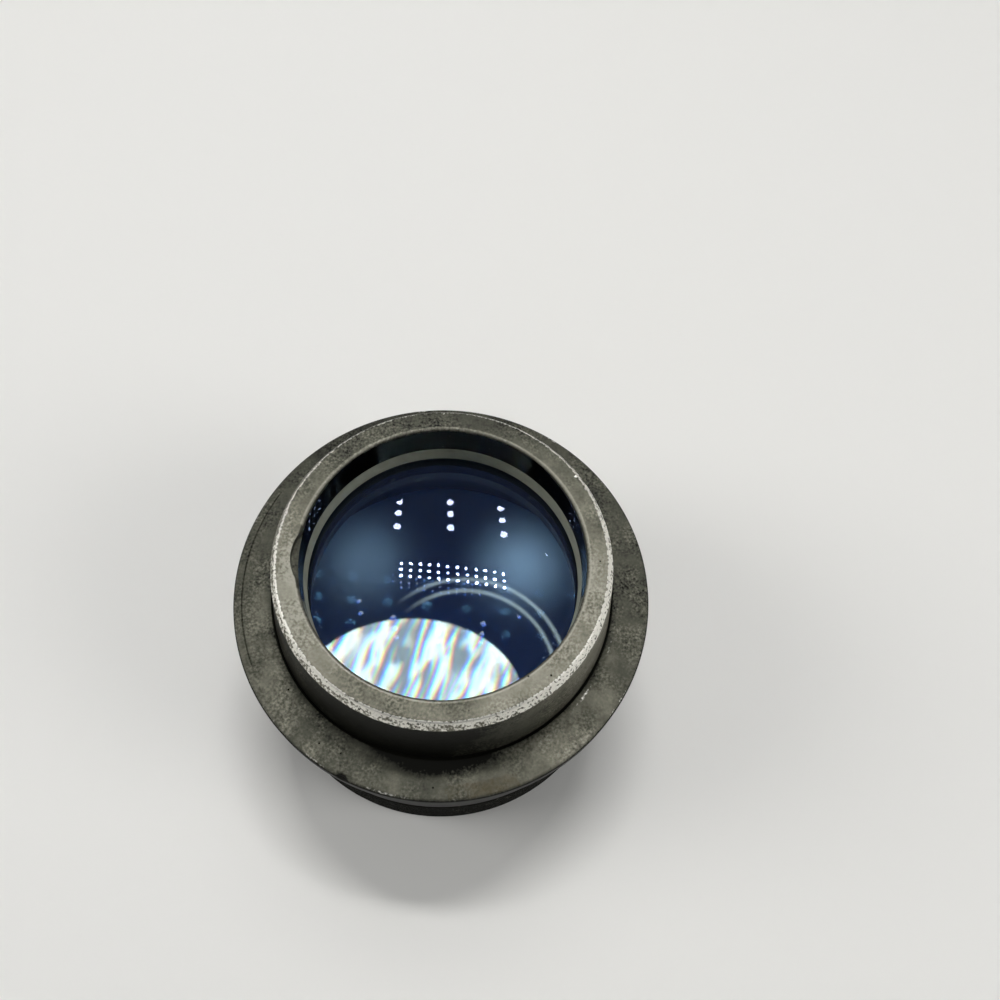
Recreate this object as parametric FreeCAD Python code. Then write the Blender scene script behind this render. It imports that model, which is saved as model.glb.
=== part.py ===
import FreeCAD, Part
import math
import os

# Telescope objective lens: a turned steel cell with an air-spaced pair of lenses.
# Millimetres, +Z along the optical axis towards the sky, origin in the middle of the rear foot.

# Glass: a crown element in front and a flint element behind it
lens_radius = 20.4
crown_front_curve = 110.0
crown_rear_curve = 95.0
crown_middle = 7.0
flint_front_curve = 97.0
flint_rear_curve = 400.0
flint_middle = 3.2
glass_edge_break = 0.25
lens_clearance = 0.08

# Front recess and the lip that the lenses bear against from behind
lip_overlap = 1.35
lip_taper = 0.25
lip_height = 2.5
recess_depth = 5.6
recess_edge_break = 0.3

# Front collar, a slow taper that ends in a broad worn chamfer
collar_height = 11.5
collar_wall = 3.6
collar_taper = 1.45
collar_chamfer_width = 0.75
collar_chamfer_height = 1.1
corner_relief_width = 0.35
corner_relief_depth = 0.3

# Rear barrel with a plain land, a thread relief and a fine thread, and the flange above them
barrel_radius = 28.9
barrel_wall = 3.3
land_length = 12.0
thread_relief_width = 2.0
thread_relief_depth = 0.4
thread_depth = 0.6
foot_chamfer = 0.7
rear_mouth_chamfer = 0.5
flange_top = 30.0
flange_thickness = 3.0
flange_overhang = 1.1
flange_edge_break = 0.3

# Rings between and around the glass
seal_thickness = 0.4
seal_inset = 0.15
spacer_width = 1.2
spacer_edge_gap = 0.3
ring_thread_step = 1.1
ring_thread_clearance = 0.1
ring_land_width = 1.5
ring_height = 4.0
ring_flare = 0.9
ring_nose_height = 0.7
ring_bore_spare = 1.6
spanner_slot_width = 2.2
spanner_slot_depth = 1.4

# Wear: a filed notch in the front rim and a chip in the flange's edge
notch_tool_radius = 6.0
notch_bite = 0.9
notch_depth = 1.2
notch_azimuth = 180.0
chip_radius = 1.3
chip_sink = 0.55
chip_azimuth = 243.0

# Radii that follow from the sizes above
lip_radius = lens_radius - lip_overlap
recess_radius = lip_radius + lip_taper
seal_inner_radius = lip_radius + seal_inset
glass_rim = lens_radius - glass_edge_break
lens_bore_radius = lens_radius + lens_clearance
collar_top_radius = recess_radius + collar_wall
collar_foot_radius = collar_top_radius + collar_taper
ring_bore_radius = lens_radius + ring_thread_step
ring_outer_radius = ring_bore_radius - ring_thread_clearance
ring_inner_radius = lens_radius - ring_land_width
flange_radius = barrel_radius + flange_overhang
thread_core_radius = barrel_radius - thread_depth
rear_hollow_radius = barrel_radius - barrel_wall

# Heights that follow from them
front_face = flange_top + collar_height
flange_bottom = flange_top - flange_thickness
lip_top = front_face - recess_depth
lip_bottom = lip_top - lip_height


def sag(curve, radius):
    """Depth of a spherical surface below its vertex at a radius."""
    return curve - math.sqrt(curve * curve - radius * radius)


crown_front = lip_bottom - seal_thickness + sag(crown_front_curve, seal_inner_radius)
crown_rear = crown_front - crown_middle
crown_edge = crown_rear + sag(crown_rear_curve, lens_radius)
flint_front = crown_edge - spacer_edge_gap - sag(flint_front_curve, lens_radius)
flint_rear = flint_front - flint_middle
flint_edge = flint_rear + sag(flint_rear_curve, lens_radius)
ring_seat = flint_edge - ring_nose_height
ring_bottom = flint_edge - ring_height
hollow_top = ring_bottom - ring_bore_spare
thread_top = flange_bottom - land_length - thread_relief_width


class Section:
    """Half section of a turned piece, drawn as radius and height."""

    def __init__(self, radius, height):
        self.start = FreeCAD.Vector(radius, 0, height)
        self.pen = self.start
        self.edges = []

    def line(self, radius, height):
        end = FreeCAD.Vector(radius, 0, height)
        self.edges.append(Part.LineSegment(self.pen, end).toShape())
        self.pen = end

    def dome(self, radius, vertex, curve):
        """Follow a surface that is highest on the axis."""
        self.sphere(radius, lambda r: vertex - sag(curve, r))

    def bowl(self, radius, vertex, curve):
        """Follow a surface that is lowest on the axis."""
        self.sphere(radius, lambda r: vertex + sag(curve, r))

    def sphere(self, radius, height):
        middle = (self.pen.x + radius) / 2
        through = FreeCAD.Vector(middle, 0, height(middle))
        end = FreeCAD.Vector(radius, 0, height(radius))
        self.edges.append(Part.Arc(self.pen, through, end).toShape())
        self.pen = end

    def turn(self):
        self.line(self.start.x, self.start.z)
        face = Part.Face(Part.Wire(self.edges))
        return face.revolve(FreeCAD.Vector(), FreeCAD.Vector(0, 0, 1), 360)


def around(shape, azimuth):
    """Turn a shape made on the +X side to an azimuth about the axis."""
    turned = shape.copy()
    turned.rotate(FreeCAD.Vector(), FreeCAD.Vector(0, 0, 1), azimuth)
    return turned


def cell_blank():
    """The cell as it leaves the lathe."""
    cell = Section(rear_hollow_radius + rear_mouth_chamfer, 0)
    cell.line(thread_core_radius - foot_chamfer, 0)
    cell.line(thread_core_radius, foot_chamfer)
    cell.line(thread_core_radius, thread_top)
    cell.line(thread_core_radius - thread_relief_depth, thread_top)
    cell.line(thread_core_radius - thread_relief_depth, thread_top + thread_relief_width)
    cell.line(barrel_radius, thread_top + thread_relief_width)
    cell.line(barrel_radius, flange_bottom)
    cell.line(flange_radius - flange_edge_break, flange_bottom)
    cell.line(flange_radius, flange_bottom + flange_edge_break)
    cell.line(flange_radius, flange_top - flange_edge_break)
    cell.line(flange_radius - flange_edge_break, flange_top)
    cell.line(collar_foot_radius + corner_relief_width, flange_top)
    cell.line(collar_foot_radius, flange_top - corner_relief_depth)
    cell.line(collar_foot_radius, flange_top)
    cell.line(collar_top_radius, front_face - collar_chamfer_height)
    cell.line(collar_top_radius - collar_chamfer_width, front_face)
    cell.line(recess_radius + recess_edge_break, front_face)
    cell.line(recess_radius, front_face - recess_edge_break)
    cell.line(recess_radius, lip_top)
    cell.line(lip_radius, lip_bottom)
    cell.line(lens_bore_radius, lip_bottom)
    cell.line(lens_bore_radius, ring_seat)
    cell.line(ring_bore_radius, ring_seat)
    cell.line(ring_bore_radius, hollow_top)
    cell.line(rear_hollow_radius, hollow_top)
    cell.line(rear_hollow_radius, rear_mouth_chamfer)
    return cell.turn()


def rim_notch():
    """Tool that files a shallow half-moon into the front rim."""
    centre = recess_radius + notch_bite - notch_tool_radius
    base = FreeCAD.Vector(centre, 0, front_face - notch_depth)
    return around(Part.makeCylinder(notch_tool_radius, 2 * notch_depth, base), notch_azimuth)


def flange_chip():
    """Tool that knocks a small bite out of the flange's upper edge."""
    centre = FreeCAD.Vector(flange_radius + chip_sink, 0, flange_top + chip_sink)
    return around(Part.makeSphere(chip_radius, centre), chip_azimuth)


def cell_body():
    return cell_blank().cut(rim_notch()).cut(flange_chip())


def crown_element():
    """Front lens, convex on both faces."""
    lens = Section(0, crown_front)
    lens.dome(glass_rim, crown_front, crown_front_curve)
    lens.line(lens_radius, crown_front - sag(crown_front_curve, glass_rim) - glass_edge_break)
    lens.line(lens_radius, crown_rear + sag(crown_rear_curve, glass_rim) + glass_edge_break)
    lens.line(glass_rim, crown_rear + sag(crown_rear_curve, glass_rim))
    lens.bowl(0, crown_rear, crown_rear_curve)
    return lens.turn()


def flint_element():
    """Rear lens, hollow in front and almost flat behind."""
    lens = Section(0, flint_front)
    lens.bowl(glass_rim, flint_front, flint_front_curve)
    lens.line(lens_radius, flint_front + sag(flint_front_curve, glass_rim) - glass_edge_break)
    lens.line(lens_radius, flint_rear + sag(flint_rear_curve, glass_rim) + glass_edge_break)
    lens.line(glass_rim, flint_rear + sag(flint_rear_curve, glass_rim))
    lens.bowl(0, flint_rear, flint_rear_curve)
    return lens.turn()


def sealing_ring():
    """Washer pressed between the lip and the front lens."""
    seal = Section(seal_inner_radius, lip_bottom)
    seal.line(glass_rim, lip_bottom)
    seal.line(glass_rim, crown_front - sag(crown_front_curve, glass_rim))
    seal.dome(seal_inner_radius, crown_front, crown_front_curve)
    return seal.turn()


def spacer_ring():
    """Thin ring that keeps the two lenses apart at their rims."""
    inner = glass_rim - spacer_width
    spacer = Section(inner, crown_rear + sag(crown_rear_curve, inner))
    spacer.bowl(glass_rim, crown_rear, crown_rear_curve)
    spacer.line(glass_rim, flint_front + sag(flint_front_curve, glass_rim))
    spacer.bowl(inner, flint_front, flint_front_curve)
    return spacer.turn()


def retaining_ring():
    """Threaded ring behind the flint lens, slotted for a two-pin spanner."""
    shoulder = ring_seat - ring_thread_clearance
    ring = Section(ring_inner_radius, flint_rear + sag(flint_rear_curve, ring_inner_radius))
    ring.bowl(glass_rim, flint_rear, flint_rear_curve)
    ring.line(glass_rim, shoulder)
    ring.line(ring_outer_radius, shoulder)
    ring.line(ring_outer_radius, ring_bottom)
    ring.line(ring_inner_radius + ring_flare, ring_bottom)
    ring.line(ring_inner_radius, ring_bottom + ring_flare)
    solid = ring.turn()
    slot_base = FreeCAD.Vector(0, -spanner_slot_width / 2, ring_bottom - spanner_slot_depth)
    for azimuth in (0, 180):
        slot = Part.makeBox(2 * ring_outer_radius, spanner_slot_width, 2 * spanner_slot_depth, slot_base)
        solid = solid.cut(around(slot, azimuth))
    return solid


pieces = {
    "cell_body": cell_body,
    "sealing_ring": sealing_ring,
    "crown_element": crown_element,
    "spacer_ring": spacer_ring,
    "flint_element": flint_element,
    "retaining_ring": retaining_ring,
}

os.makedirs("parts", exist_ok=True)
for name, build in pieces.items():
    shape = build()
    shape.exportStep("parts/" + name + ".step")
    box = shape.BoundBox
    print(name, "volume %.0f mm3" % shape.Volume, "z %.2f to %.2f" % (box.ZMin, box.ZMax), shape.isValid())
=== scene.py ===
# Studio picture of a telescope objective lens: a worn steel cell and its coated pair of lenses.
import math
import random

import bmesh
import bpy
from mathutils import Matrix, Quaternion, Vector, noise


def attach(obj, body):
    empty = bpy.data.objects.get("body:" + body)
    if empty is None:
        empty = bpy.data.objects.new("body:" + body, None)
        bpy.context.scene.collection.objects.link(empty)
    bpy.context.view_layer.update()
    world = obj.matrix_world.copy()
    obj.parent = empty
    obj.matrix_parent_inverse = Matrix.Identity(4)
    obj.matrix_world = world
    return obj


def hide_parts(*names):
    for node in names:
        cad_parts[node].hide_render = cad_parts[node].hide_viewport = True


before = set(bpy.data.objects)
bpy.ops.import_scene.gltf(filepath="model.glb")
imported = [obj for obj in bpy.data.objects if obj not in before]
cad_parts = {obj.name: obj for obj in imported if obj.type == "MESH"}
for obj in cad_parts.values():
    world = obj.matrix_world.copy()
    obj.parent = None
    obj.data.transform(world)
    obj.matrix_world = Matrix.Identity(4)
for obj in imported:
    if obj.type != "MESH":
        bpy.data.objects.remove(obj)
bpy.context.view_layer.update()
mm = 0.001
fullTurn = 2 * math.pi
print("frame loaded,", len(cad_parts), "nodes")


# Small tools

def linear(hexColour):  # sRGB hex to the linear colour that a shader takes
    parts = [int(hexColour[i:i + 2], 16) / 255 for i in (1, 3, 5)]
    return [c / 12.92 if c <= 0.04045 else ((c + 0.055) / 1.055) ** 2.4 for c in parts] + [1.0]


def addNode(tree, kind, inputs=None, **settings):  # a node with its settings, values and links
    node = tree.nodes.new("ShaderNode" + kind)
    for key, value in settings.items():
        setattr(node, key, value)
    for key, value in (inputs or {}).items():
        if isinstance(value, bpy.types.Node):  # a node given here stands for its live output
            value = next(socket for socket in value.outputs if socket.enabled)
        if isinstance(value, bpy.types.NodeSocket):
            tree.links.new(value, node.inputs[key])
        else:
            node.inputs[key].default_value = value
    return node


def scaleOf(size):  # a pattern's scale, from the size of its features in mm
    return 1 / (size * mm)


def newMaterial(name):  # an empty material and its tree
    material = bpy.data.materials.new(name)
    material.use_nodes = True
    material.node_tree.nodes.clear()
    return material, material.node_tree


def drawWire(bm, points, start=None):  # joins (radius, height, longest piece) points in mm, in the XZ plane
    last = start
    pieces = []
    for radius, height, longest in points:
        new = bm.verts.new((radius * mm, 0, height * mm))
        if last is not None:
            edge = bm.edges.new((last, new))
            pieces.append((edge, math.ceil(edge.calc_length() / (longest * mm)) - 1))
        last = new
    for edge, cuts in pieces:
        if cuts > 0:
            bmesh.ops.subdivide_edges(bm, edges=[edge], cuts=cuts)
    return last


def turn(bm, steps):  # spins the wire about the optical axis
    wire = bm.verts[:] + bm.edges[:]
    bmesh.ops.spin(bm, geom=wire, cent=(0, 0, 0), axis=(0, 0, 1), angle=fullTurn, steps=steps, use_merge=True)
    bmesh.ops.remove_doubles(bm, verts=bm.verts, dist=0.0005 * mm)


def radiusOf(point):  # distance from the optical axis in mm
    return math.hypot(point.x, point.y) / mm


def azimuthOf(point):  # degrees, 0 at +X, 90 at +Y
    return math.degrees(math.atan2(point.y, point.x)) % 360


def makePiece(bm, name, materials, slot, *nodes):  # mesh to object, riding and standing for its nodes
    mesh = bpy.data.meshes.new(name)
    bm.to_mesh(mesh)
    bm.free()
    for material in materials:
        mesh.materials.append(material)
    piece = bpy.data.objects.new(name, mesh)
    bpy.context.scene.collection.objects.link(piece)
    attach(piece, "root")
    if nodes:
        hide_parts(*nodes)
    return piece


# Worn blackened steel: turned on a lathe, chemically blackened, then rubbed back to a matt warm grey
steel = {
    "blackened": "#0f0f0a",  # chemical black left where nothing rubs
    "halfWorn": "#54544a",  # thinned black on the open faces
    "bare": "#817f72",  # oxidised grey where the black is gone
    "bareLight": "#a19f93",  # freshly rubbed patches
    "polished": "#efede4",  # edges rubbed bright by handling, and painted highlights
    "stain": "#43381f",  # brown rust and old oil
    "grainSize": 0.36,  # mm, etched grain of the oxide
    "graining": (0.25, 1.35),  # how far the grain breaks up the tone, in smooth and in coarse places
    "patchSize": 5.0,  # mm, from smooth to coarse places
    "mottleSize": 3.0,  # mm, cloudy patches
    "mottling": 0.58,
    "turningPitch": 0.2,  # mm, lathe marks; coarser than real so that they show
    "pitSize": 1.5,  # mm between small pits
    "pitEdge": (0.13, 0.05),  # a pit's outer and inner edge, as shares of that
    "pitless": 0.82,  # share of the places for a pit that have none
    "specking": 3.4,  # how far the grain breaks up the polished places
    "speckEdge": (0.3, 0.75),  # from no polish to full polish
    "staining": 1.3,  # how far the cloudy patches break up the stains
    "stainEdge": (0.3, 0.8),
    "stainMost": 0.75,
    "roughness": (0.58, 0.62, 0.38),  # black, worn, polished
    "metallic": (0.1, 0.9, 0.2),  # black, worn, stained
}


def wornSteelAndLight():
    material, tree = newMaterial("wornSteelAndPaintedLight")
    place = addNode(tree, "TexCoord").outputs["Object"]
    # The attribute holds wear and stains together with painted light and shade: bare tone, polish with
    # painted highlights, grime
    finishAndLight = addNode(tree, "Attribute", attribute_name="finishAndLight")
    bare, polishAndSheen, grime = addNode(tree, "SeparateColor", {0: finishAndLight}).outputs
    grain = addNode(tree, "TexNoise", {"Vector": place, "Scale": scaleOf(steel["grainSize"]), "Detail": 2.0})
    grain = addNode(tree, "Math", {0: grain, 1: 0.5}, operation="SUBTRACT")
    mottle = addNode(tree, "TexNoise", {"Vector": place, "Scale": scaleOf(steel["mottleSize"]), "Detail": 6.0,
                                        "Roughness": 0.65})
    mottle = addNode(tree, "Math", {0: mottle, 1: 0.5}, operation="SUBTRACT")
    coarse = addNode(tree, "TexNoise", {"Vector": place, "Scale": scaleOf(steel["patchSize"]), "Detail": 3.0})
    smooth, rough = steel["graining"]
    coarse = addNode(tree, "MapRange", {0: coarse, 1: 0.4, 2: 0.6, 3: smooth, 4: rough})
    flat = addNode(tree, "VectorMath", {0: place, 1: (1, 1, 0)}, operation="MULTIPLY")
    radius = addNode(tree, "VectorMath", {0: flat}, operation="LENGTH")
    marks = addNode(tree, "TexNoise", {"W": radius, "Scale": scaleOf(steel["turningPitch"]), "Detail": 2.0},
                    noise_dimensions="1D")
    pits = addNode(tree, "TexVoronoi", {"Vector": place, "Scale": scaleOf(steel["pitSize"])})

    # How bare, with painted light and shade: the attribute, broken up by cloudy patches and etched grain,
    # sets the tone
    tone = addNode(tree, "Math", {0: mottle, 1: steel["mottling"], 2: bare}, operation="MULTIPLY_ADD")
    tone = addNode(tree, "Math", {0: grain, 1: coarse, 2: tone}, operation="MULTIPLY_ADD")
    colour = addNode(tree, "ValToRGB", {0: tone})
    stops = colour.color_ramp.elements
    stops[0].position, stops[0].color = 0.05, linear(steel["blackened"])
    stops[1].position, stops[1].color = 1.0, linear(steel["bareLight"])
    for position, name in ((0.4, "halfWorn"), (0.72, "bare")):
        stops.new(position).color = linear(steel[name])

    # Rubbed bright, and painted highlights, where the second channel is high, in broken specks where it is
    # middling
    low, high = steel["speckEdge"]
    speck = addNode(tree, "Math", {0: grain, 1: steel["specking"], 2: 1.0}, operation="MULTIPLY_ADD")
    speck = addNode(tree, "Math", {0: speck, 1: polishAndSheen}, operation="MULTIPLY")
    speck = addNode(tree, "MapRange", {0: speck, 1: low, 2: high}, interpolation_type="SMOOTHSTEP")
    colour = addNode(tree, "Mix", {0: speck, 6: colour, 7: linear(steel["polished"])}, data_type="RGBA")

    # Rare dark pits
    rare = addNode(tree, "SeparateColor", {0: pits.outputs["Color"]}).outputs[0]
    rare = addNode(tree, "Math", {0: rare, 1: steel["pitless"]}, operation="GREATER_THAN")
    outer, inner = steel["pitEdge"]
    pit = addNode(tree, "MapRange", {0: pits, 1: outer, 2: inner}, interpolation_type="SMOOTHSTEP")
    pit = addNode(tree, "Math", {0: pit, 1: rare}, operation="MULTIPLY")
    colour = addNode(tree, "Mix", {0: pit, 6: colour, 7: linear(steel["blackened"])}, data_type="RGBA")

    # Brown stains where the third channel is high
    low, high = steel["stainEdge"]
    stain = addNode(tree, "Math", {0: mottle, 1: steel["staining"], 2: grime}, operation="MULTIPLY_ADD")
    stain = addNode(tree, "MapRange", {0: stain, 1: low, 2: high, 4: steel["stainMost"]},
                    interpolation_type="SMOOTHSTEP")
    colour = addNode(tree, "Mix", {0: stain, 6: colour, 7: linear(steel["stain"])}, data_type="RGBA")

    worn = addNode(tree, "MapRange", {0: tone, 1: 0.1, 2: 0.6}, interpolation_type="SMOOTHSTEP")
    onBlack, onWorn, onPolished = steel["roughness"]
    roughness = addNode(tree, "Mix", {0: worn, 2: onBlack, 3: onWorn})
    roughness = addNode(tree, "Mix", {0: speck, 2: roughness, 3: onPolished})
    onBlack, onWorn, onStained = steel["metallic"]
    metallic = addNode(tree, "Mix", {0: worn, 2: onBlack, 3: onWorn})
    metallic = addNode(tree, "Mix", {0: stain, 2: metallic, 3: onStained})
    height = addNode(tree, "Math", {0: marks, 1: 0.5, 2: grain}, operation="MULTIPLY_ADD")
    height = addNode(tree, "Math", {0: height, 1: pit}, operation="SUBTRACT")
    bump = addNode(tree, "Bump", {"Height": height, "Strength": 0.4, "Distance": 0.03 * mm})
    around = addNode(tree, "Tangent", direction_type="RADIAL", axis="Z")
    shader = addNode(tree, "BsdfPrincipled", {
        "Base Color": colour, "Roughness": roughness, "Metallic": metallic, "Normal": bump,
        "Specular IOR Level": 0.15, "Anisotropic": 0.4, "Tangent": around})
    addNode(tree, "OutputMaterial", {0: shader})
    return material


# Black enamel: brushed on inside the recess and stoved, glossy with a little dust
enamel = {  # sizes in mm, dust specks as shares of dustSize
    "colour": "#030302", "dust": "#55554c", "dustSize": 1.4, "dustEdge": (0.09, 0.04), "dustless": 0.6,
    "waveSize": 2.5}


def glossEnamel():
    material, tree = newMaterial("glossBlackEnamel")
    place = addNode(tree, "TexCoord").outputs["Object"]
    waves = addNode(tree, "TexNoise", {"Vector": place, "Scale": scaleOf(enamel["waveSize"]), "Detail": 1.0})
    dust = addNode(tree, "TexVoronoi", {"Vector": place, "Scale": scaleOf(enamel["dustSize"])})
    rare = addNode(tree, "SeparateColor", {0: dust.outputs["Color"]}).outputs[0]
    rare = addNode(tree, "Math", {0: rare, 1: enamel["dustless"]}, operation="GREATER_THAN")
    outer, inner = enamel["dustEdge"]
    speck = addNode(tree, "MapRange", {0: dust, 1: outer, 2: inner}, interpolation_type="SMOOTHSTEP")
    speck = addNode(tree, "Math", {0: speck, 1: rare}, operation="MULTIPLY")
    colour = addNode(tree, "Mix", {0: speck, 6: linear(enamel["colour"]), 7: linear(enamel["dust"])},
                     data_type="RGBA")
    bump = addNode(tree, "Bump", {"Height": waves, "Strength": 0.03, "Distance": 0.1 * mm})
    shader = addNode(tree, "BsdfPrincipled", {
        "Base Color": colour, "Roughness": 0.03, "Specular IOR Level": 0.02, "Normal": bump})
    addNode(tree, "OutputMaterial", {0: shader})
    return material


# Bare steel lip: fine turned and left unpainted around the glass, dull olive grey
lipSteel = {"colour": "#b6b7a2", "dark": "#8a8b7a", "markPitch": 0.12, "cloudSize": 1.8}


def bareLip():
    material, tree = newMaterial("bareTurnedLip")
    place = addNode(tree, "TexCoord").outputs["Object"]
    height = addNode(tree, "SeparateXYZ", {0: place}).outputs[2]
    marks = addNode(tree, "TexNoise", {"W": height, "Scale": scaleOf(lipSteel["markPitch"])},
                    noise_dimensions="1D")
    cloudy = addNode(tree, "TexNoise", {
        "Vector": place, "Scale": scaleOf(lipSteel["cloudSize"]), "Detail": 4.0})
    colour = addNode(tree, "Mix", {0: cloudy, 6: linear(lipSteel["dark"]), 7: linear(lipSteel["colour"])},
                     data_type="RGBA")
    bump = addNode(tree, "Bump", {"Height": marks, "Strength": 0.3, "Distance": 0.02 * mm})
    shader = addNode(tree, "BsdfPrincipled", {
        "Base Color": colour, "Roughness": 0.6, "Metallic": 0.3, "Normal": bump})
    addNode(tree, "OutputMaterial", {0: shader})
    return material


# Flat black: soot-dark optical paint inside the barrel that swallows stray light
flatBlack = {"colour": "#12110f", "worn": "#24221e", "cloudSize": 1.2}


def opticalBlack(name="flatOpticalBlack"):
    material, tree = newMaterial(name)
    place = addNode(tree, "TexCoord").outputs["Object"]
    cloudy = addNode(tree, "TexNoise", {
        "Vector": place, "Scale": scaleOf(flatBlack["cloudSize"]), "Detail": 4.0})
    colour = addNode(tree, "Mix", {0: cloudy, 6: linear(flatBlack["colour"]), 7: linear(flatBlack["worn"])},
                     data_type="RGBA")
    bump = addNode(tree, "Bump", {"Height": cloudy, "Strength": 0.3, "Distance": 0.05 * mm})
    shader = addNode(tree, "BsdfPrincipled", {"Base Color": colour, "Roughness": 0.75, "Normal": bump})
    addNode(tree, "OutputMaterial", {0: shader})
    return material


# Coated optical glass: polished, with a single evaporated layer that reflects blue and violet
coated = {"tint": "#98b9e0", "layer": 118.0, "layerIor": 1.38, "crownIor": 1.517, "flintIor": 1.62}  # in nm


def coatedGlass(name, ior):
    material, tree = newMaterial(name)
    shader = addNode(tree, "BsdfPrincipled", {
        "Base Color": linear(coated["tint"]), "Roughness": 0.0, "Transmission Weight": 1.0, "IOR": ior,
        "Thin Film Thickness": coated["layer"], "Thin Film IOR": coated["layerIor"]})
    addNode(tree, "OutputMaterial", {0: shader})
    return material


steelMaterial = wornSteelAndLight()
enamelMaterial = glossEnamel()
lipMaterial = bareLip()
blackMaterial = opticalBlack()
edgeMaterial = opticalBlack("groundEdgePaint")
crownMaterial = coatedGlass("coatedCrownGlass", coated["crownIor"])
flintMaterial = coatedGlass("coatedFlintGlass", coated["flintIor"])
print("materials made")


# Cell body, one turned piece. Radii and heights in mm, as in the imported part
cell = {
    "steps": 448,
    "footRadius": 27.6, "footChamfer": 0.7, "threadCore": 28.3, "threadCrest": 28.82, "threadTop": 13.0,
    "threadPitch": 1.0, "threadSteps": 168, "reliefRadius": 27.9, "reliefTop": 15.0,
    "barrel": 28.9, "flangeBottom": 27.0, "flangeTop": 30.0, "flange": 30.0, "edgeBreak": 0.3,
    "collarFoot": 24.35, "cornerWidth": 0.35, "cornerDepth": 0.3,
    "collarTop": 22.9, "chamferWidth": 0.75, "chamferHeight": 1.1, "front": 41.5,
    "recess": 19.3, "recessBreak": 0.3, "lipTop": 35.9, "lip": 19.05, "lipBottom": 33.4,
    "lensBore": 20.48, "ringSeat": 24.06, "ringBore": 21.5, "hollowTop": 19.16, "hollow": 25.6, "mouth": 0.5,
    "bevel": 0.09, "bevelFrom": 24.0, "sharpFrom": 38.0,  # mm, and the angles between faces in degrees
    "notchAzimuth": 180.0, "notchRadius": 6.0, "notchBite": 0.9, "notchDepth": 1.2,
    "chipAzimuth": 243.0, "chipSize": 1.1, "chipDepth": 0.55,
    "rimNicks": 70, "flangeNicks": 30, "seed": 7,
    "nickSize": (0.2, 0.45), "nickDepth": (0.1, 0.28),  # mm, and as a share of the size
    "nickAbove": 29.4, "nickBeyond": 21.5,  # height and radius from which on the rims take dents
    "scribeRadius": 28.75, "scribeWidth": 0.24, "scribeDepth": 0.1, "scribeStart": 148.0, "scribeEnd": 204.5,
    "enamelTop": 0.45, "enamelWorn": 0.5,  # mm below the rim where the enamel starts, more where worn
    "enamelWave": (0.15, 1.2),  # how far that edge wanders, and the size of a wave
}


def threadShell(bm):  # the fine outside thread: a tooth profile turned with a rise of one pitch
    c = cell
    pitch = c["threadPitch"]
    teeth = math.ceil(c["threadTop"] / pitch) + 3  # some to spare at both ends, cut off below
    shape = ((0.0, c["threadCore"]), (0.12, c["threadCore"]),
             (0.5, c["threadCrest"]), (0.62, c["threadCrest"]))
    points = [(radius, (tooth + part) * pitch - 2 * pitch, 9)
              for tooth in range(teeth) for part, radius in shape]
    drawWire(bm, points)
    wire = bm.verts[:] + bm.edges[:]
    climb = Vector((0, 0, pitch * mm / c["threadSteps"]))
    bmesh.ops.spin(bm, geom=wire, cent=(0, 0, 0), axis=(0, 0, 1), dvec=climb, angle=fullTurn,
                   steps=c["threadSteps"], use_merge=False)
    bmesh.ops.remove_doubles(bm, verts=bm.verts, dist=0.002 * mm)
    for height, normal in ((c["footChamfer"] + 0.05, (0, 0, -1)), (c["threadTop"], (0, 0, 1))):
        everything = bm.verts[:] + bm.edges[:] + bm.faces[:]
        bmesh.ops.bisect_plane(bm, geom=everything, plane_co=(0, 0, height * mm), plane_no=normal,
                               clear_outer=True)


def cellWire(bm):  # everything but the thread, from its relief round the inside to the foot
    c = cell
    taperTop = c["front"] - c["chamferHeight"]
    outer = [
        (c["reliefRadius"], c["threadTop"], 1), (c["reliefRadius"], c["reliefTop"], 1),
        (c["barrel"], c["reliefTop"], 1), (c["barrel"], c["flangeBottom"], 1.2),
        (c["flange"] - c["edgeBreak"], c["flangeBottom"], 1),
        (c["flange"], c["flangeBottom"] + c["edgeBreak"], 1),
        (c["flange"], c["flangeTop"] - c["edgeBreak"], 0.5),
        (c["flange"] - c["edgeBreak"], c["flangeTop"], 1),
        (c["scribeRadius"] + c["scribeWidth"] / 2, c["flangeTop"], 0.4),
        (c["scribeRadius"], c["flangeTop"], 1),
        (c["scribeRadius"] - c["scribeWidth"] / 2, c["flangeTop"], 1),
        (c["collarFoot"] + c["cornerWidth"], c["flangeTop"], 0.34),
        (c["collarFoot"], c["flangeTop"] - c["cornerDepth"], 1), (c["collarFoot"], c["flangeTop"], 1),
        (c["collarTop"], taperTop, 0.5), (c["collarTop"] - c["chamferWidth"], c["front"], 0.3),
    ]
    inner = [
        (c["recess"] + c["recessBreak"], c["front"], 0.3), (c["recess"], c["front"] - c["recessBreak"], 1),
        (c["recess"], c["front"] - c["notchDepth"], 0.3), (c["recess"], c["lipTop"], 0.6),
        (c["lip"], c["lipBottom"], 0.6), (c["lensBore"], c["lipBottom"], 1),
        (c["lensBore"], c["ringSeat"], 3), (c["ringBore"], c["ringSeat"], 2),
        (c["ringBore"], c["hollowTop"], 3), (c["hollow"], c["hollowTop"], 3),
        (c["hollow"], c["mouth"], 3), (c["hollow"] + c["mouth"], 0, 1),
        (c["footRadius"], 0, 1), (c["threadCore"], c["footChamfer"], 1),
    ]
    drawWire(bm, outer + inner)


def closeGap(bm, low, high):  # joins the two open rims that lie between two heights
    rims = [e for e in bm.edges if e.is_boundary and all(low < v.co.z / mm < high for v in e.verts)]
    bmesh.ops.bridge_loops(bm, edges=rims)


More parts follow.
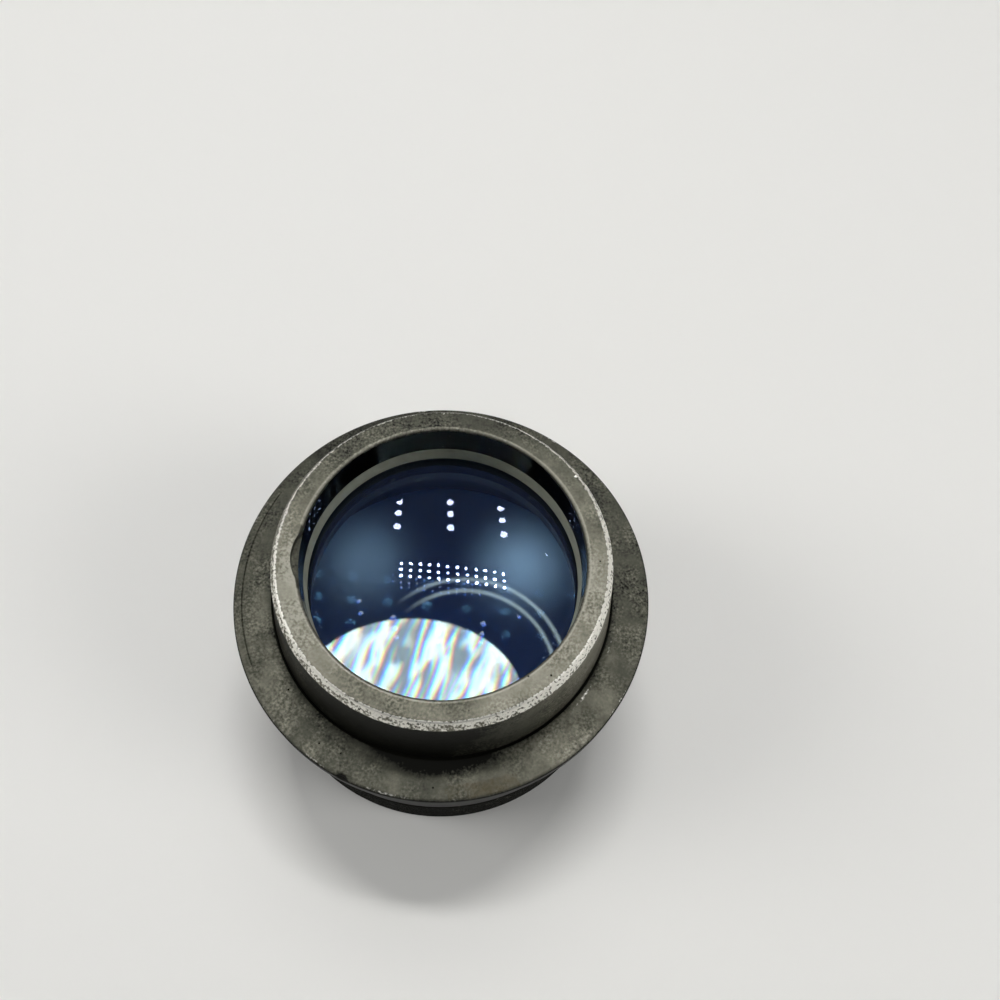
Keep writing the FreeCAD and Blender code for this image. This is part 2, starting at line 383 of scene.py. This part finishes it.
def fileNotch(bm):  # half-moon filed into the recess's rim
    c = cell
    centre = c["recess"] + c["notchBite"] - c["notchRadius"]
    floor = c["front"] - c["notchDepth"]
    for v in bm.verts:
        radius = radiusOf(v.co)
        if v.co.z / mm < floor + 0.02 or radius > c["recess"] + c["notchBite"] + 0.4:
            continue
        turned = math.radians(azimuthOf(v.co) - c["notchAzimuth"])
        inside = c["notchRadius"] ** 2 - (centre * math.sin(turned)) ** 2
        if inside <= 0 or math.cos(turned) < 0:
            continue
        reach = centre * math.cos(turned) + math.sqrt(inside)  # the tool's edge at this azimuth
        if reach > radius:
            v.co.x *= reach / radius
            v.co.y *= reach / radius


def scribeLine(bm):  # arc cut beside the place for a mark on the flange
    c = cell
    for v in bm.verts:
        if abs(v.co.z / mm - c["flangeTop"]) > 0.01 or abs(radiusOf(v.co) - c["scribeRadius"]) > 0.01:
            continue
        if c["scribeStart"] < azimuthOf(v.co) < c["scribeEnd"]:
            v.co.z -= c["scribeDepth"] * mm


def nickEdges(bm):  # dents from handling along the collar's and the flange's rims
    c = cell
    dice = random.Random(c["seed"])
    nicks = []
    for count, radius, height, spread in (
            (c["rimNicks"], c["collarTop"], c["front"] - c["chamferHeight"], 0.25),
            (c["rimNicks"] // 2, c["collarTop"] - c["chamferWidth"], c["front"], 0.2),
            (c["flangeNicks"], c["flange"], c["flangeTop"], 0.2)):
        for _ in range(count):
            turned = dice.uniform(0, fullTurn)
            reach = radius + dice.uniform(-spread, spread / 2)
            centre = Vector((math.cos(turned) * reach, math.sin(turned) * reach, height)) * mm
            size = dice.uniform(*c["nickSize"])
            nicks.append((centre, size * mm, size * dice.uniform(*c["nickDepth"]) * mm))
    turned = math.radians(c["chipAzimuth"])
    edge = Vector((math.cos(turned) * c["flange"], math.sin(turned) * c["flange"], c["flangeTop"])) * mm
    nicks.append((edge, c["chipSize"] * mm, c["chipDepth"] * mm))
    rims = [v for v in bm.verts if v.co.z > c["nickAbove"] * mm and radiusOf(v.co) > c["nickBeyond"]]
    bm.normal_update()
    moves = {}
    for centre, size, depth in nicks:
        for v in rims:
            apart = (v.co - centre).length_squared
            if apart < size * size:
                fall = (1 - apart / (size * size)) ** 2
                moves[v] = moves.get(v, Vector()) - v.normal * depth * fall
    for v, move in moves.items():
        v.co += move


def cellZone(point):  # material of a face: 0 steel, 1 enamel, 2 bare lip, 3 flat black
    c = cell
    radius, height = radiusOf(point), point.z / mm
    wander, wave = c["enamelWave"]
    worn = c["enamelWorn"] * max(0, -math.cos(2 * math.atan2(point.y, point.x) + math.pi))
    enamelTop = c["front"] - c["enamelTop"] - worn - wander * cloud(point, wave)
    if radius < c["recess"] + 0.05 and c["lipTop"] < height < enamelTop:
        return 1
    if radius < c["recess"] + 0.02 and c["lipBottom"] + 0.05 < height <= c["lipTop"]:
        return 2
    inside = c["hollow"] if height < c["hollowTop"] + 0.1 else c["ringBore"]
    if radius < inside + 0.1 and 0.4 < height < c["lipBottom"] + 0.06:
        return 3
    return 0


def cloud(point, size):  # smooth noise about zero, size in mm
    return noise.noise(point / (size * mm))


def rise(value, low, high):  # straight step from low to high, kept between nought and one
    return min(1, max(0, (value - low) / (high - low)))


# Painted light and shade round the turned faces: lighter where they catch the lamps, darker where they look
# away, and the collar's painted shadow on the flange in front; how much, at which azimuth and how wide in
# degrees
bands = {
    "front": ((0.18, 303, 16), (0.16, 188, 20), (-0.1, 5, 15), (0.08, 215, 15), (-0.1, 142, 18)),
    "wall": ((-0.2, 255, 30),),
    "flange": ((0.12, 200, 22), (0.19, 303, 16), (-0.13, 120, 15), (-0.1, 255, 20)),
    # painted shadow of the collar on the flange in front
    "corner": ((-0.8, 268, 15),),
}


def banded(zone, azimuth):  # what a zone's bands add, each falling off smoothly to both sides
    return sum(amount * math.exp(-((azimuth - middle) / width) ** 2) for amount, middle, width in bands[zone])


def paintFinishAndLight(bm):  # how far each point is rubbed bare, polished and stained, with light and shade painted into the first two
    c = cell
    layer = bm.verts.layers.float_color.new("finishAndLight")
    taperTop = c["front"] - c["chamferHeight"]
    chamferIn = c["collarTop"] - c["chamferWidth"]
    cornerOut = c["collarFoot"] + c["cornerWidth"]
    for v in bm.verts:
        radius, height, azimuth = radiusOf(v.co), v.co.z / mm, azimuthOf(v.co)
        turned = math.radians(azimuth)
        side, back = abs(math.cos(turned)), math.sin(turned)
        notched = abs(azimuth - c["notchAzimuth"]) < 13
        patch, blotch = cloud(v.co, 5), cloud(v.co, 1.7)
        far, close, right = max(0, back), max(0, -back), max(0, math.cos(turned))
        bare, polishAndSheen, grime = 0.3, 0.0, 0.0
        if height > c["front"] - 0.05:  # flat front face, darker on its far side and lighter to left and right as painted shade and painted sheen; rubbed bare along the recess and polished along the outer rim
            bare = 0.56 - 0.17 * back + 0.14 * math.cos(2 * turned) + 0.14 * patch
            bare += banded("front", azimuth)
            if not notched:
                bare += 0.5 * rise(radius, c["recess"] + 0.5, c["recess"] + 0.35)
                polishAndSheen = 0.25 * rise(radius, c["recess"] + 0.45, c["recess"] + 0.3)
            polishAndSheen += (0.85 - 0.45 * far) * rise(radius, chamferIn - 0.25, chamferIn - 0.05)
        elif height > taperTop - 0.12 and radius > 21:  # worn chamfer, brightest along its top; brighter at the sides, in front and on the right and darker behind, as painted highlights and shade
            top = rise(height, c["front"] - 0.5, c["front"] - 0.2)
            bare = 0.75 - 0.35 * far
            polishAndSheen = 0.18 + 0.22 * side ** 2 - 0.18 * far + 0.33 * close + 0.28 * right
            polishAndSheen += 0.3 * cloud(v.co, 1.2) + (0.6 - 0.3 * far) * top
        elif height > c["lipTop"] and radius < c["recess"] + 1.2:  # top of the recess wall
            bare = 0.35 if notched else 0.35 + 0.6 * rise(height, c["front"] - 0.35, c["front"] - 0.15)
            polishAndSheen = 0 if notched else 0.25 * rise(height, c["front"] - 0.35, c["front"] - 0.15)
        elif radius < cornerOut and c["flangeTop"] - 0.5 < height < c["flangeTop"] + 0.05:
            bare = -0.3  # relief groove in the corner, painted black as shade in the crease
        elif height > c["flangeTop"] + 0.02:  # tapered wall, paler to the sides and on the right and black in front as painted light and shade, lighter towards its top edge
            towards = max(0, math.cos(turned - math.radians(335)))
            bare = 0.1 * patch + 0.1 * side + 0.75 * towards ** 3 + banded("wall", azimuth)
            bare += 0.12 * rise(height, taperTop - 1, taperTop)
        elif height > c["flangeTop"] - 0.1:  # flange face: lighter or darker by azimuth as painted light and shade, blackest in the corner nearest the camera as a painted shadow of the collar
            fromWall = radius - c["collarFoot"]
            bare = 0.37 - 0.11 * back + 0.13 * patch + 0.09 * blotch + banded("flange", azimuth)
            # Painted shadow of the collar in front, and painted shade along the wall foot all round
            bare += banded("corner", azimuth) * rise(fromWall, 2.6, 1.2) - 0.25 * rise(fromWall, 1.2, 0.2)
            polishAndSheen = 0.5 * rise(radius, c["flange"] - 0.6, c["flange"] - 0.3) * (0.4 + patch)
            # Browner towards the wall foot
            grime = 0.15 * rise(fromWall, 1.2, 0)
            if 270 < azimuth < 290:  # oil stain near the edge
                grime += 0.5 * rise(radius, 27, 28)
            if 298 < azimuth < 347:  # pale ring on the right, 25.4 mm out
                polishAndSheen += 0.4 * rise(abs(radius - 25.4), 0.4, 0.1) * (0.6 + 1.5 * patch)
            if abs(radius - c["scribeRadius"]) < 0.01 and c["scribeStart"] < azimuth < c["scribeEnd"]:
                bare, polishAndSheen = -0.3, 0
        elif height > c["flangeBottom"] - 0.05 and radius > c["barrel"]:  # flange edge
            ridge = rise(height, c["flangeTop"] - 0.45, c["flangeTop"])
            bare, polishAndSheen = 0.6 * ridge - 0.3, 0.4 * ridge * (0.5 + patch)
        elif height < c["flangeBottom"]:
            bare = 0.1 * patch - 0.05
        v[layer] = (min(1, max(-0.3, bare)), min(1, max(0, polishAndSheen)), min(1, max(0, grime)), 1)


def makeCell():
    bm = bmesh.new()
    threadShell(bm)
    thread = set(bm.verts)
    body = bmesh.new()
    cellWire(body)
    turn(body, cell["steps"])
    shell = bpy.data.meshes.new("turnedShell")
    body.to_mesh(shell)
    body.free()
    bm.from_mesh(shell)
    bpy.data.meshes.remove(shell)
    closeGap(bm, cell["footChamfer"] - 0.05, cell["footChamfer"] + 0.1)
    closeGap(bm, cell["threadTop"] - 0.01, cell["threadTop"] + 0.01)
    bmesh.ops.recalc_face_normals(bm, faces=bm.faces)
    bevelFrom, sharpFrom = math.radians(cell["bevelFrom"]), math.radians(cell["sharpFrom"])
    corners = [e for e in bm.edges if len(e.link_faces) == 2 and e.calc_face_angle() > bevelFrom
               and not thread.intersection(e.verts) and abs(e.verts[0].co.z - e.verts[1].co.z) < 0.001 * mm
               and e.verts[0].co.z > (cell["threadTop"] + 0.05) * mm]
    bmesh.ops.bevel(bm, geom=corners, offset=cell["bevel"] * mm, offset_type="OFFSET", affect="EDGES",
                    segments=2, profile=0.5, material=-1, clamp_overlap=True)
    fileNotch(bm)
    scribeLine(bm)
    nickEdges(bm)
    paintFinishAndLight(bm)
    for face in bm.faces:
        face.smooth = True
        face.material_index = cellZone(face.calc_center_median())
    for edge in bm.edges:
        if len(edge.link_faces) == 2 and edge.calc_face_angle() > sharpFrom:
            edge.smooth = False
    return makePiece(bm, "cellBody", [steelMaterial, enamelMaterial, lipMaterial, blackMaterial],
                     "worn_steel", "cell_body")


cellBody = makeCell()
print("cell body,", len(cellBody.data.polygons), "faces")


# The two lenses: front and rear vertex heights and radii of curvature, all in mm
lensRim = {"radius": 20.4, "edgeBreak": 0.25, "steps": 192, "rings": 40, "sharpFrom": 20.0}
crown = {"front": 34.686, "frontCurve": 110.0, "rear": 27.686, "rearCurve": 95.0}
flint = {"front": 27.433, "frontCurve": 97.0, "rear": 24.233, "rearCurve": 400.0}


def arcWire(bm, vertex, centre):  # a spherical surface's section, from the axis out to the rim
    reach = (lensRim["radius"] - lensRim["edgeBreak"]) / abs(vertex - centre)
    angle = math.copysign(math.asin(reach), vertex - centre)
    start = bm.verts.new((0, 0, vertex * mm))
    made = bmesh.ops.spin(bm, geom=[start], cent=(0, 0, centre * mm), axis=(0, 1, 0), angle=angle,
                          steps=lensRim["rings"], use_merge=False)
    return [v for v in made["geom_last"] if isinstance(v, bmesh.types.BMVert)][0]


def makeLens(name, size, domed, material, slot, node):
    bm = bmesh.new()
    frontCentre = size["front"] - size["frontCurve"] * (1 if domed else -1)
    rimTop = arcWire(bm, size["front"], frontCentre)
    rimBottom = arcWire(bm, size["rear"], size["rear"] + size["rearCurve"])
    high, low = rimTop.co.z / mm, rimBottom.co.z / mm
    rim, edgeBreak = lensRim["radius"], lensRim["edgeBreak"]
    last = drawWire(bm, [(rim, high - edgeBreak, 9), (rim, low + edgeBreak, 9)], rimTop)
    bm.edges.new((last, rimBottom))
    turn(bm, lensRim["steps"])
    bmesh.ops.dissolve_degenerate(bm, edges=bm.edges, dist=0.0001 * mm)
    bmesh.ops.recalc_face_normals(bm, faces=bm.faces)
    for face in bm.faces:
        face.smooth = True
        face.material_index = 1 if radiusOf(face.calc_center_median()) > rim - edgeBreak else 0
    for edge in bm.edges:
        if len(edge.link_faces) == 2 and edge.calc_face_angle() > math.radians(lensRim["sharpFrom"]):
            edge.smooth = False
    return makePiece(bm, name, [material, edgeMaterial], slot, node)


crownLens = makeLens("crownElement", crown, True, crownMaterial, "crown_glass", "crown_element")
flintLens = makeLens("flintElement", flint, False, flintMaterial, "flint_glass", "flint_element")
print("lenses,", len(crownLens.data.polygons) + len(flintLens.data.polygons), "faces")


# Rings that stay as packed take their finish from materials alone. Sizes in mm
rubber = {"colour": "#0d0d0d", "worn": "#1d1c1b", "skinSize": 0.4}
brass = {"colour": "#1a1917", "rubbed": "#6d5b38", "wearSize": 2.2, "wearEdge": (0.6, 0.75)}


def sealRubber():  # hard old rubber, dull and almost black
    material, tree = newMaterial("oldSealRubber")
    place = addNode(tree, "TexCoord").outputs["Object"]
    skin = addNode(tree, "TexNoise", {"Vector": place, "Scale": scaleOf(rubber["skinSize"]), "Detail": 3.0})
    colour = addNode(tree, "Mix", {0: skin, 6: linear(rubber["colour"]), 7: linear(rubber["worn"])},
                     data_type="RGBA")
    bump = addNode(tree, "Bump", {"Height": skin, "Strength": 0.3, "Distance": 0.03 * mm})
    shader = addNode(tree, "BsdfPrincipled", {"Base Color": colour, "Roughness": 0.6, "Normal": bump})
    addNode(tree, "OutputMaterial", {0: shader})
    return material


def blackenedBrass():  # turned brass, chemically blackened, its slots rubbed by the spanner
    material, tree = newMaterial("blackenedBrass")
    place = addNode(tree, "TexCoord").outputs["Object"]
    wear = addNode(tree, "TexNoise", {"Vector": place, "Scale": scaleOf(brass["wearSize"]), "Detail": 5.0})
    low, high = brass["wearEdge"]
    mask = addNode(tree, "MapRange", {0: wear, 1: low, 2: high}, interpolation_type="SMOOTHSTEP")
    colour = addNode(tree, "Mix", {0: mask, 6: linear(brass["colour"]), 7: linear(brass["rubbed"])},
                     data_type="RGBA")
    bump = addNode(tree, "Bump", {"Height": wear, "Strength": 0.2, "Distance": 0.03 * mm})
    shader = addNode(tree, "BsdfPrincipled", {
        "Base Color": colour, "Roughness": 0.42, "Metallic": 0.8, "Normal": bump})
    addNode(tree, "OutputMaterial", {0: shader})
    return material


ringFinishes = {"sealing_ring": sealRubber(), "retaining_ring": blackenedBrass(),
                "spacer_ring": opticalBlack("blackenedFoil")}
for nodeName, material in ringFinishes.items():
    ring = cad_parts[nodeName]
    for holder in ring.material_slots:
        holder.material = material
print("rings finished")


# Floor: one plain pale sheet
floorLook = {"size": 4.0, "colour": "#e4e3df"}


def makeFloor():
    bm = bmesh.new()
    bmesh.ops.create_grid(bm, x_segments=1, y_segments=1, size=floorLook["size"] / 2)
    mesh = bpy.data.meshes.new("floor")
    bm.to_mesh(mesh)
    bm.free()
    material, tree = newMaterial("paleFloor")
    shader = addNode(tree, "BsdfPrincipled", {"Base Color": linear(floorLook["colour"]), "Roughness": 0.7})
    addNode(tree, "OutputMaterial", {0: shader})
    mesh.materials.append(material)
    floor = bpy.data.objects.new("floor", mesh)
    bpy.context.scene.collection.objects.link(floor)


makeFloor()


# Lamps: soft boxes beside the object, and rows of small ceiling lamps whose glints show in the glass
softBoxes = {  # places and sizes in mm
    "softLeft": {"at": (-800, 60, 560), "aim": (0, 0, 20), "size": 520, "watts": 3.4},
    "softRight": {"at": (760, -260, 560), "aim": (0, 0, 20), "size": 460, "watts": 2.8},
}
# Ceiling bulbs in columns and rows: leans from overhead in degrees, the rest in mm
ceiling = {"height": 881, "aim": (0, 0, 40), "shift": 25, "slope": 0.1, "leans": (31.0, 34.3, 37.2),
           "columns": 3, "pitch": 195, "size": 26, "watts": 0.12}
# Panel of small round lamps, each row one long lamp with its dots drawn on its face
panel = {"leans": (18.9, 20.4, 21.9), "across": 30, "turn": -2, "dots": (12, 1), "pitch": (32, 9), "dot": 9,
         "watts": 1.25}
strays = {  # more ceiling bulbs, beside the rows: places across and away
    "places": ((-350, 545), (385, 515), (385, 440)), "size": 20, "watts": 0.06}


def addLamp(name, at, aim, size, watts, depth=None, shape="DISK"):
    light = bpy.data.lights.new(name, "AREA")
    light.shape = shape
    light.size = size * mm
    if depth:
        light.size_y = depth * mm
    light.energy = watts
    lamp = bpy.data.objects.new(name, light)
    lamp.location = Vector(at) * mm
    away = lamp.location - Vector(aim) * mm
    lamp.rotation_euler = away.to_track_quat("Z", "Y").to_euler()
    bpy.context.scene.collection.objects.link(lamp)
    return lamp


def openFace(lamp):  # a lamp's node tree, with places over its face in mm from the middle
    lamp.data.use_nodes = True
    tree = lamp.data.node_tree
    tree.nodes.clear()
    size = (lamp.data.size / mm, lamp.data.size_y / mm, 0)
    face = addNode(tree, "NewGeometry").outputs["Parametric"]
    middle = addNode(tree, "VectorMath", {0: face, 1: (0.5, 0.5, 0)}, operation="SUBTRACT")
    return tree, addNode(tree, "VectorMath", {0: middle, 1: size}, operation="MULTIPLY")


def drawDots(lamp, columns, rows, across, along, dot):  # round dots that share the lamp's whole power
    tree, face = openFace(lamp)
    toMiddle = ((columns % 2 - 1) * across / 2, (rows % 2 - 1) * along / 2, 0)
    most, least = (across / 2, along / 2, 0), (-across / 2, -along / 2, 0)
    place = addNode(tree, "VectorMath", {0: face, 1: toMiddle}, operation="ADD")
    place = addNode(tree, "VectorMath", {0: place, 1: most, 2: least}, operation="WRAP")
    radius = addNode(tree, "VectorMath", {0: place}, operation="LENGTH")
    inside = addNode(tree, "Math", {0: radius, 1: dot / 2}, operation="LESS_THAN")
    strength = addNode(tree, "Math", {0: inside, 1: across * along / (math.pi / 4 * dot * dot)},
                       operation="MULTIPLY")
    shine = addNode(tree, "Emission", {1: strength})
    addNode(tree, "OutputLight", {0: shine})


for boxName, spec in softBoxes.items():
    addLamp(boxName, **spec)

for number, lean in enumerate(ceiling["leans"]):
    back = math.tan(math.radians(lean)) * ceiling["height"]
    for column in range(ceiling["columns"]):
        side = (column - (ceiling["columns"] - 1) / 2) * ceiling["pitch"]
        place = (side + ceiling["shift"], back - side * ceiling["slope"], ceiling["height"])
        addLamp("bulb%d%d" % (number, column), place, ceiling["aim"], ceiling["size"], ceiling["watts"])

(columns, rows), (across, along) = panel["dots"], panel["pitch"]
for number, lean in enumerate(panel["leans"]):
    place = (panel["across"], math.tan(math.radians(lean)) * ceiling["height"], ceiling["height"])
    row = addLamp("row%d" % number, place, ceiling["aim"], columns * across, panel["watts"],
                  rows * along, "RECTANGLE")
    row.rotation_euler.rotate_axis("Z", math.radians(panel["turn"]))
    drawDots(row, columns, rows, across, along, panel["dot"])

for number, (side, back) in enumerate(strays["places"]):
    addLamp("stray%d" % number, (side, back, ceiling["height"]), ceiling["aim"], strays["size"],
            strays["watts"])

# Light that the lenses gather and throw on the floor inside the barrel, warm because the glass is blue.
# Places and sizes in mm, spread in degrees
pools = {
    "patch": {"at": (-5.3, -8.2), "height": 0.3, "size": 34, "depth": 26, "spread": 100, "watts": 0.0175,
              "colour": "#ffc48b"},
    "arcs": {"at": (3.0, -4.5), "height": 0.3, "size": 36, "depth": 36, "spread": 100, "watts": 0.011,
             "colour": "#ffc48b"},
    "glowLeft": {"at": (-12, 14), "height": 12, "size": 8, "depth": 8, "spread": 70, "watts": 0.00025,
                 "colour": "#ffdcb4"},
    "glowRight": {"at": (12, 13), "height": 12, "size": 8, "depth": 8, "spread": 70, "watts": 0.0005,
                  "colour": "#ffdcb4"},
}
# The patch's streaks and the arcs, drawn on the face of their lamps: sizes in mm, turns in degrees
streaks = {"width": 2.2, "length": 13.0, "turn": 22.0, "fringe": 0.3, "sharp": 0.1, "least": 0.45,
           "most": 1.9}
arcs = {"radii": (15.4, 13.6), "half": 0.45, "towards": 50.0, "fade": (0.1, 0.6)}  # half a line's width


def drawStreaks(lamp):  # stretched noise folded to bright ridges, its three primaries slightly apart
    tree, face = openFace(lamp)
    turned = addNode(tree, "VectorRotate", {"Vector": face, "Angle": math.radians(streaks["turn"])},
                     rotation_type="Z_AXIS")
    thin = (1 / streaks["width"], 1 / streaks["length"], 0)
    primaries = {}
    for primary in range(3):
        shift = (primary * streaks["fringe"], 0, 0)
        moved = addNode(tree, "VectorMath", {0: turned, 1: shift}, operation="ADD")
        moved = addNode(tree, "VectorMath", {0: moved, 1: thin}, operation="MULTIPLY")
        ridge = addNode(tree, "TexNoise", {"Vector": moved, "Scale": 1.0, "Detail": 1.5, "Distortion": 0.9})
        ridge = addNode(tree, "Math", {0: ridge, 1: 0.5}, operation="SUBTRACT")
        ridge = addNode(tree, "Math", {0: ridge}, operation="ABSOLUTE")
        primaries[primary] = addNode(tree, "MapRange", {0: ridge, 1: 0.0, 2: streaks["sharp"],
                                                        3: streaks["most"], 4: streaks["least"]})
    colour = addNode(tree, "CombineColor", primaries)
    shine = addNode(tree, "Emission", {0: colour})
    addNode(tree, "OutputLight", {0: shine})


def drawArcs(lamp):  # two thin parallel arcs, fading at their ends
    tree, face = openFace(lamp)
    radius = addNode(tree, "VectorMath", {0: face}, operation="LENGTH")
    lines = 0.0
    for middle in arcs["radii"]:
        off = addNode(tree, "Math", {0: radius, 1: middle}, operation="SUBTRACT")
        off = addNode(tree, "Math", {0: off}, operation="ABSOLUTE")
        line = addNode(tree, "MapRange", {0: off, 1: arcs["half"], 2: 0.0}, interpolation_type="SMOOTHSTEP")
        lines = addNode(tree, "Math", {0: lines, 1: line}, operation="MAXIMUM")
    turned = math.radians(arcs["towards"])
    heading = addNode(tree, "VectorMath", {0: face}, operation="NORMALIZE")
    facing = addNode(tree, "VectorMath", {0: heading, 1: (math.cos(turned), math.sin(turned), 0)},
                     operation="DOT_PRODUCT")
    low, high = arcs["fade"]
    facing = addNode(tree, "MapRange", {0: facing, 1: low, 2: high}, interpolation_type="SMOOTHSTEP")
    strength = addNode(tree, "Math", {0: lines, 1: facing}, operation="MULTIPLY")
    shine = addNode(tree, "Emission", {1: strength})
    addNode(tree, "OutputLight", {0: shine})


for poolName, spec in pools.items():  # flat lamps just above the floor, seen only by what they light
    across, away = spec["at"]
    pool = addLamp(poolName, (across, away, spec["height"]), (across, away, 0), spec["size"], spec["watts"],
                   spec["depth"], "ELLIPSE")
    pool.rotation_euler = (0, 0, 0)
    pool.data.spread = math.radians(spec["spread"])
    pool.data.color = linear(spec["colour"])[:3]
    pool.visible_camera = False
    pool.visible_transmission = False
    pool.visible_glossy = False

drawStreaks(bpy.data.objects["patch"])
drawArcs(bpy.data.objects["arcs"])

# World: dim light from all round, that shows as a pale backdrop to the camera and through the glass
studio = {"light": "#d6d8da", "strength": 0.22, "backdrop": "#dcdcd9"}
world = bpy.data.worlds.new("studio")
world.use_nodes = True
world.node_tree.nodes.clear()
rays = addNode(world.node_tree, "LightPath").outputs
seen = addNode(world.node_tree, "Math", {0: rays["Is Camera Ray"], 1: rays["Is Transmission Ray"]},
               operation="MAXIMUM")
dim = [c * studio["strength"] for c in linear(studio["light"])[:3]] + [1.0]
sky = addNode(world.node_tree, "Mix", {0: seen, 6: dim, 7: linear(studio["backdrop"])}, data_type="RGBA")
sky = addNode(world.node_tree, "Background", {0: sky})
addNode(world.node_tree, "OutputWorld", {0: sky})
bpy.context.scene.world = world
print("floor and lamps placed")

# Camera where the photograph was taken from: close, high in front, a little rolled
view = {  # mm and degrees; focal length and frame in the photograph's pixels
    "at": (0, -43.53, 146.51), "aim": (7.76, 8.02, 41.5), "roll": 7.35, "focal": 850, "frame": 1000,
    "sensor": 36}


def placeCamera():
    data = bpy.data.cameras.new("camera")
    data.sensor_width = view["sensor"]
    data.lens = view["focal"] / view["frame"] * view["sensor"]
    data.clip_start = 1 * mm
    camera = bpy.data.objects.new("camera", data)
    camera.location = Vector(view["at"]) * mm
    sight = Vector(view["aim"]) * mm - camera.location
    camera.rotation_mode = "QUATERNION"
    roll = Quaternion((0, 0, 1), math.radians(view["roll"]))
    camera.rotation_quaternion = sight.to_track_quat("-Z", "Y") @ roll
    bpy.context.scene.collection.objects.link(camera)
    bpy.context.scene.camera = camera


placeCamera()
bpy.context.scene.view_settings.view_transform = "Standard"
